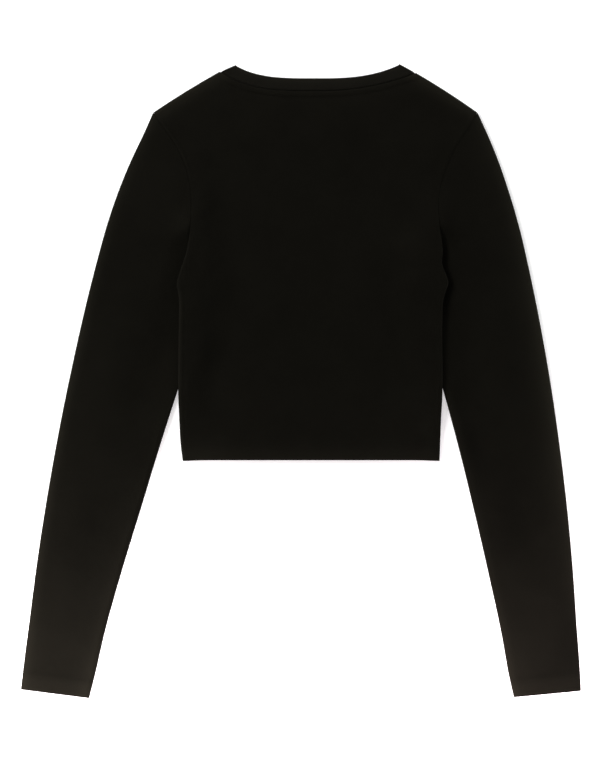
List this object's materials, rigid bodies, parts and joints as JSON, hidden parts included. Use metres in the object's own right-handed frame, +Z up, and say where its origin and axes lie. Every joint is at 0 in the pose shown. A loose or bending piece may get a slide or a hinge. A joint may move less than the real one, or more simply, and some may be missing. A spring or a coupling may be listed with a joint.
{
  "type": "crop top",
  "caption": "Long-sleeved crop top in black jersey with a round rib neckband, laid flat with its back up and its sleeves down.",
  "frame": {"origin": "on the surface it lies on, under the middle of the garment's bounding box", "axes": "+X to the right as seen from above, +Y from the hem and cuffs to the neck, +Z up from the surface; the back of the garment faces +Z"},
  "size_m": [0.5766, 0.6522, 0.0057],
  "materials": {
    "jersey": "matte fine jersey",
    "rib": "matte fine rib"
  },
  "bodies": {
    "root": {"front": "jersey", "back": "jersey", "sleeve_left": "jersey", "sleeve_right": "jersey", "neckband": "rib"}
  },
  "joints": []
}
